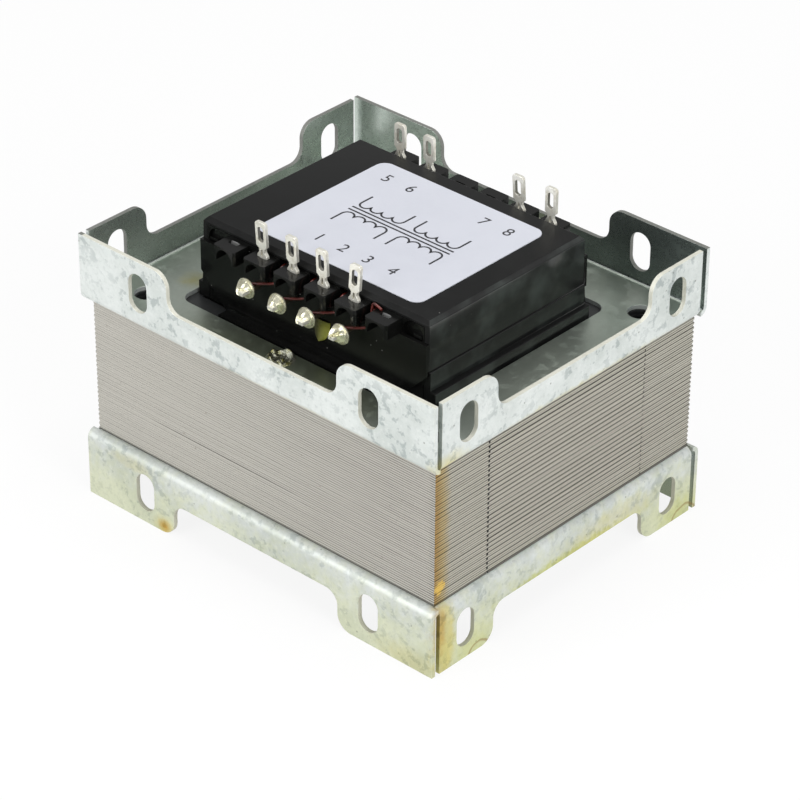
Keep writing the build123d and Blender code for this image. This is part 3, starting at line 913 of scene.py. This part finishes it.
# tags, each leaning a little, with a larger eye than in the CAD
tag = {"edge": 0.07, "lean": 3.0, "foot": 65.39, "seed": 4, "inEyeWall": 0.6,
       "eyeDrop": 2.9, "eyeHalf": (0.65, 1.62), "eyeGrowth": (1.42, 1.16)}
rows = {"secondary": -1, "primary": 1}
tagNumbers = range(1, 5)


def openEye(mesh, nodeName):
    # marks the wall of the eye, which gets painted shade, then makes the eye larger
    low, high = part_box(nodeName)
    middle = ((low.x + high.x) / 2, high.z - tag["eyeDrop"] * mm)
    spans = list(zip((0, 2), middle, tag["eyeHalf"], tag["eyeGrowth"]))

    def inEye(point):
        return all(abs(point[axis] - centre) < half * mm for axis, centre, half, growth in spans)

    storeOnFaces(mesh, "shadedEyeWall", lambda face: inEye(face.center) and abs(face.normal.y) < tag["inEyeWall"])
    for v in mesh.vertices:
        if inEye(v.co):
            for axis, centre, half, growth in spans:
                v.co[axis] = centre + (v.co[axis] - centre) * growth


def leanOver(mesh, lean, nod):
    drop = 1 - cos(max(abs(lean), abs(nod)))
    for v in mesh.vertices:
        rise = v.co.z - tag["foot"] * mm
        if rise > 0:
            v.co += Vector((sin(lean), sin(nod), -drop)) * rise


draw = random.Random(tag["seed"])
for row in rows:
    for number in tagNumbers:
        nodeName = f"{row}_tag_{number}"
        mesh = softCopy(nodeName, tag["edge"])
        openEye(mesh, nodeName)
        lean = radians(draw.uniform(-1, 1) * tag["lean"])
        nod = radians(draw.uniform(-1, 1) * tag["lean"])
        leanOver(mesh, lean, nod)
        addPiece(f"{row}_solder_tag_{number}", mesh, tagLook, "tinned_brass", nodeName)
print("tags made")


# solder: a thin round collar, and a lump drawn out to a tip with creases running to it;
# the collar's profile has shares of the radius and depths
solder = {
    "radius": 2.3, "collar": 0.5, "lump": 2.05, "tip": 3.3, "aside": 0.22, "rings": 7, "steps": 5,
    "level": 59.69, "base": 29.25, "slides": (-0.75, -0.2, -0.6, 0.3), "seed": 21, "rearSeed": 31,
    "backDepth": 0.05,
    "profile": ((0.5, 0.05), (0.95, 0.0), (1.0, 0.12), (1.0, 0.32), (0.96, 0.44), (0.86, 0.46)),
    "ridges": (5, 6), "unevenTurn": 0.28, "tipX": (-0.3, 0.3), "tipZ": (-0.3, 0.8), "tipShare": (0.85, 1.0),
    "ridgeSize": (0.9, 1.0), "ridgePower": 0.62, "hollowPower": 1.3, "hollowShare": 0.95, "creasePower": 1.4,
}


def solderLump(bm, x, side, chance):
    count = chance.randint(*solder["ridges"])
    turn = chance.uniform(0, tau)
    loose = solder["unevenTurn"]
    ridges = [turn + (k + chance.uniform(-loose, loose)) * tau / count for k in range(count)]
    tipX, tipZ = chance.uniform(*solder["tipX"]), chance.uniform(*solder["tipZ"])
    reach = solder["tip"] * chance.uniform(*solder["tipShare"])
    sizes = [chance.uniform(*solder["ridgeSize"]) for k in ridges]
    angles, pulls = [], []
    for k, start in enumerate(ridges):
        end = ridges[(k + 1) % count] + (tau if k == count - 1 else 0)
        for step in range(solder["steps"]):
            share = step / solder["steps"]
            angles.append(start + (end - start) * share)
            pulls.append((abs(2 * share - 1), sizes[k] * (1 - share) + sizes[(k + 1) % count] * share))

    def spot(radius, angle, depth, lift=0.0, slide=0.0):
        across = x + slide + radius * cos(angle)
        level = solder["level"] + lift + radius * sin(angle)
        return bm.verts.new(Vector((across, side * (solder["base"] + depth), level)) * mm)

    def lumpRing(share):
        # full on a ridge, hollow between ridges
        ridge = (1 - share) ** solder["ridgePower"]
        hollow = (1 - share) ** solder["hollowPower"] * solder["hollowShare"]
        depth = solder["collar"] + (reach - solder["collar"]) * share
        made = []
        for angle, (pull, size) in zip(angles, pulls):
            radius = solder["lump"] * size * (hollow + (ridge - hollow) * pull ** solder["creasePower"])
            made.append(spot(radius, angle, depth, tipZ * share, tipX * share - solder["aside"]))
        return made

    rings = [[spot(solder["radius"] * part, a, depth) for a in angles] for part, depth in solder["profile"]]
    rings += [lumpRing(k / solder["rings"]) for k in range(solder["rings"])]
    back = spot(0, 0, solder["backDepth"])
    front = spot(0, 0, reach, tipZ, tipX - solder["aside"])
    skin(bm, back, rings, front)


def tagPlaces(row):
    return [sum(corner.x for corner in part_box(f"{row}_tag_{number}")) / 2 / mm for number in tagNumbers]


for row, side in rows.items():
    inFront = row == "secondary"
    bm = bmesh.new()
    for k, x in enumerate(tagPlaces(row)):
        slide = solder["slides"][k] if inFront else 0.0
        solderLump(bm, x + slide, side, random.Random(solder["seed" if inFront else "rearSeed"] + k))
    faceOut(bm)
    addPiece(f"{row}_solder_joints", meshFrom(bm, 25), solderLook, "solder", f"{row}_solder")
print("solder set")


# leads: from the coil over the cheek, down between the posts and under them onto the tail;
# a point of the route has a share of the way beside the tag, an extra in X, and Y and Z
lead = {
    "wire": 0.6, "beside": 4.2, "sides": {"secondary": (1, 1, 1, 1), "primary": (1, 1, -1, -1)}, "seed": 8,
    "bow": 0.25, "roundSteps": 3, "steps": 8,
    "route": ((1, 0, 19.7, 61.79), (1, 0, 21.7, 64.3), (1, 0, 24.3, 64.5), (1, 0, 25.0, 63.2),
              (1, 0, 25.0, 61.3), (0.8, 0, 25.2, 60.5), (0.3, 0, 27.2, 60.5), (0, -0.75, 28.75, 60.45)),
    "looseEnd": ((16.6, 24.5, 63.4), (16.7, 24.3, 65.4), (17.0, 24.2, 66.2), (18.2, 24.3, 66.0),
                 (19.4, 24.5, 65.75)),
}


def leadPoints(row):
    chance = random.Random(lead["seed"])
    for x, hand in zip(tagPlaces(row), lead["sides"][row]):
        bow = chance.uniform(-lead["bow"], lead["bow"])
        yield [(x + hand * (lead["beside"] * share + bow * (0 < share < 1) + extra), y, z)
               for share, extra, y, z in lead["route"]]
    if row == "secondary":
        yield lead["looseEnd"]


for row, side in rows.items():
    line = bpy.data.curves.new("leads", "CURVE")
    line.dimensions = "3D"
    line.bevel_depth = lead["wire"] / 2 * mm
    line.bevel_resolution = lead["roundSteps"]
    line.resolution_u = lead["steps"]
    line.use_fill_caps = True
    for route in leadPoints(row):
        spline = line.splines.new("NURBS")
        spline.points.add(len(route) - 1)
        for point, (x, y, z) in zip(spline.points, route):
            point.co = (x * mm, side * y * mm, z * mm, 1)
        spline.order_u = 3
        spline.use_endpoint_u = True
    mesh = plainMesh(newObject("holder", line))
    mesh.polygons.foreach_set("use_smooth", [True] * len(mesh.polygons))
    addPiece(f"{row}_wires", mesh, wireLook, "enamelled_wire", f"{row}_leads")
print("leads laid")


# loose end of the coil's tape, curling away from the panel and round at its end
tab = {"across": 8, "along": 14, "off": 0.02, "thick": 0.12, "bow": 0.35, "curl": 0.9,
       "roundFrom": 0.3, "roundOver": 0.71, "least": 0.02}


def tapeEnd():
    low, high = (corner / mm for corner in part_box("tape_tab"))
    middle, half = (low.x + high.x) / 2, (high.x - low.x) / 2
    bm = bmesh.new()

    def grid(depth):
        made = []
        for j in range(tab["along"] + 1):
            t = j / tab["along"]
            past = max(0.0, (t - tab["roundFrom"]) / tab["roundOver"])
            width = half * sqrt(max(tab["least"], 1 - past ** 2))
            made.append([])
            for i in range(tab["across"] + 1):
                s = 2 * i / tab["across"] - 1
                bow = tab["bow"] * (1 - s * s) + tab["curl"] * t * t
                place = (middle + s * width, high.y - depth - bow, high.z + (low.z - high.z) * t)
                made[-1].append(bm.verts.new(Vector(place) * mm))
        return made

    def strip(a, b):
        for k in range(len(a) - 1):
            bm.faces.new((a[k], a[k + 1], b[k + 1], b[k]))

    inner, outer = grid(tab["off"]), grid(tab["thick"])
    for side in (inner, outer):
        for a, b in zip(side, side[1:]):
            strip(a, b)
    for k in (0, -1):
        strip(inner[k], outer[k])
        strip([row[k] for row in inner], [row[k] for row in outer])
    faceOut(bm)
    return meshFrom(bm, 50)


addPiece("tape_end", tapeEnd(), tabLook, "coil_tape", "tape_tab")
print("tape end laid")


# label print: terminal numbers and the sign for a transformer
ink = {
    "thick": 0.02, "line": 0.45, "middle": (2.45, -0.5), "coilRadius": 1.5, "loops": 4, "arcSteps": 10,
    "gap": 3.0, "coilsApart": 1.6, "stem": 3.4, "bars": (-0.6, 0.6), "barPast": 2.0,
    "digit": 4.2, "spread": 0.8, "numbers": (("secondary", -15.2, 1), ("primary", 12.4, 5)),
}


def inkText(words, x, y, level):
    curve = bpy.data.curves.new("digit", "FONT")
    curve.body = words
    curve.size = ink["digit"] * mm
    curve.align_x = "CENTER"
    curve.extrude = ink["thick"] / 2 * mm
    mesh = plainMesh(newObject("holder", curve))
    mesh.transform(Matrix.Translation((x * mm, y * mm, (level + ink["thick"] / 2) * mm)))
    return mesh


def inkLine(bm, points, level):
    # a line of even width through the points
    half = ink["line"] / 2
    left, right = [], []
    for k, (x, y) in enumerate(points):
        ax, ay = points[max(k - 1, 0)]
        bx, by = points[min(k + 1, len(points) - 1)]
        length = hypot(bx - ax, by - ay)
        nx, ny = -(by - ay) / length * half, (bx - ax) / length * half
        left.append((x + nx, y + ny))
        right.append((x - nx, y - ny))
    heights = (level, level + ink["thick"])
    corners = [[bm.verts.new(Vector((*p, z)) * mm) for p in edge] for z in heights for edge in (left, right)]
    lowLeft, lowRight, topLeft, topRight = corners
    for k in range(len(points) - 1):
        bm.faces.new((topLeft[k], topRight[k], topRight[k + 1], topLeft[k + 1]))
        bm.faces.new((lowLeft[k], lowLeft[k + 1], lowRight[k + 1], lowRight[k]))
        bm.faces.new((topLeft[k], topLeft[k + 1], lowLeft[k + 1], lowLeft[k]))
        bm.faces.new((topRight[k], lowRight[k], lowRight[k + 1], topRight[k + 1]))
    for k in (0, -1):
        bm.faces.new((topLeft[k], lowLeft[k], lowRight[k], topRight[k]))


def coilLine(start, base, side):
    # a stem, a row of half rings and another stem
    r = ink["coilRadius"]
    points = [(start, base + side * ink["stem"]), (start, base)]
    for k in range(ink["loops"]):
        middle = start + r + 2 * r * k
        for step in range(1, ink["arcSteps"] + 1):
            angle = pi - step * pi / ink["arcSteps"]
            points.append((middle + r * cos(angle), base - side * r * sin(angle)))
    return points + [(start + ink["loops"] * 2 * r, base + side * ink["stem"])]


def labelPrint():
    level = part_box("label")[1].z / mm
    bm = bmesh.new()
    cx, cy = ink["middle"]
    span = ink["loops"] * 2 * ink["coilRadius"]
    for side in (-1, 1):
        for group in (-1, 1):
            start = cx + group * (span / 2 + ink["coilsApart"]) - span / 2
            inkLine(bm, coilLine(start, cy + side * ink["gap"], side), level)
    reach = span + ink["barPast"]
    for offset in ink["bars"]:
        inkLine(bm, [(cx - reach, cy + offset), (cx + reach, cy + offset)], level)
    for row, y, first in ink["numbers"]:
        for k, x in enumerate(tagPlaces(row)):
            digit = inkText(str(first + k), cx + x * ink["spread"], y, level)
            bm.from_mesh(digit)
            bpy.data.meshes.remove(digit)
    bmesh.ops.remove_doubles(bm, verts=bm.verts[:], dist=0.0005 * mm)
    faceOut(bm)
    mesh = bpy.data.meshes.new("shape")
    bm.to_mesh(mesh)
    bm.free()
    return mesh


addPiece("label_print", labelPrint(), inkLook, "label_film")
print("label printed")


# nodes that keep their own shape
kept = {"label": labelLook, "secondary_winding": turnsLook, "primary_winding": turnsLook,
        "secondary_tape": tapeLook, "primary_tape": tapeLook}
for nodeName, look in kept.items():
    nodes[nodeName].data.materials.clear()
    nodes[nodeName].data.materials.append(look)


# studio: a floor that is white to the eye and in reflections and still takes the shadow, a dim world that is
# brighter in reflections, and soft lamps, each with its place, aim, size and power
studio = {
    "floor": 3.0, "white": 0.88, "matt": (0.86, 0.86, 0.86), "glow": (1, 1, 1), "world": (0.2, 0.42),
    "lamps": (("overhead", (0.0, 0.05, 1.0), (0, 0, 0.04), 0.9, 6.5),
              ("left_front", (-0.22, -0.98, 0.45), (0, 0, 0.03), 0.7, 7.9),
              ("right_front", (1.0, -0.1, 0.45), (0, 0, 0.03), 0.7, 8.1)),
}


def floorWhite():
    made = bpy.data.materials.new("floor_white")
    made.use_nodes = True
    tree = made.node_tree
    tree.nodes.clear()
    rays = tree.nodes.new("ShaderNodeLightPath").outputs
    mirrored = sums("MAXIMUM", rays["Is Glossy Ray"], rays["Is Transmission Ray"])
    seen = sums("MAXIMUM", rays["Is Camera Ray"], mirrored)
    matt = take(tree, "ShaderNodeBsdfDiffuse", {"Color": studio["matt"]})
    glow = take(tree, "ShaderNodeEmission", {"Color": studio["glow"], "Strength": 1.0})
    share = times(seen, studio["white"])
    both = take(tree, "ShaderNodeMixShader", {0: share, 1: matt, 2: glow})
    plug(tree.nodes.new("ShaderNodeOutputMaterial").inputs[0], both)
    return made


def studioFloor():
    bm = bmesh.new()
    bmesh.ops.create_grid(bm, x_segments=1, y_segments=1, size=studio["floor"])
    mesh = meshFrom(bm)
    mesh.materials.append(floorWhite())
    newObject("floor", mesh)


def studioWorld():
    world = bpy.data.worlds.new("studio")
    scene.world = world
    world.use_nodes = True
    tree = world.node_tree
    backdrop = tree.nodes["Background"].inputs
    plug(backdrop["Color"], studio["glow"])
    mirrored = tree.nodes.new("ShaderNodeLightPath").outputs["Is Glossy Ray"]
    plug(backdrop["Strength"], fade(mirrored, 0.0, 1.0, *studio["world"]))


def softLamp(name, place, aim, size, power):
    lamp = bpy.data.lights.new(name, "AREA")
    lamp.shape = "SQUARE"
    lamp.size = size
    lamp.energy = power
    holder = newObject(name, lamp)
    holder.location = place
    holder.rotation_euler = (Vector(aim) - Vector(place)).to_track_quat("-Z", "Y").to_euler()


studioFloor()
studioWorld()
for lamp in studio["lamps"]:
    softLamp(*lamp)

view = {"azimuth": 42.2954, "elevation": 32.2822, "roll": 0.3394, "lens": 158.94, "sensor": 36.0,
        "aim": (4.198, -2.262, 27.879), "distance": 739.67, "clip": (0.05, 20.0)}


def photoCamera():
    az, el, roll = (radians(view[k]) for k in ("azimuth", "elevation", "roll"))
    back = Vector((sin(az) * cos(el), -cos(az) * cos(el), sin(el)))
    right = Vector((cos(az), sin(az), 0))
    camera = newObject("camera", bpy.data.cameras.new("camera"))
    camera.data.lens = view["lens"]
    camera.data.sensor_width = view["sensor"]
    camera.data.clip_start, camera.data.clip_end = view["clip"]
    turn = Matrix((right, back.cross(right), back)).transposed().to_4x4() @ Matrix.Rotation(roll, 4, "Z")
    camera.matrix_world = Matrix.Translation((Vector(view["aim"]) + back * view["distance"]) * mm) @ turn
    scene.camera = camera


photoCamera()
scene.view_settings.view_transform = "Standard"
print("studio ready")
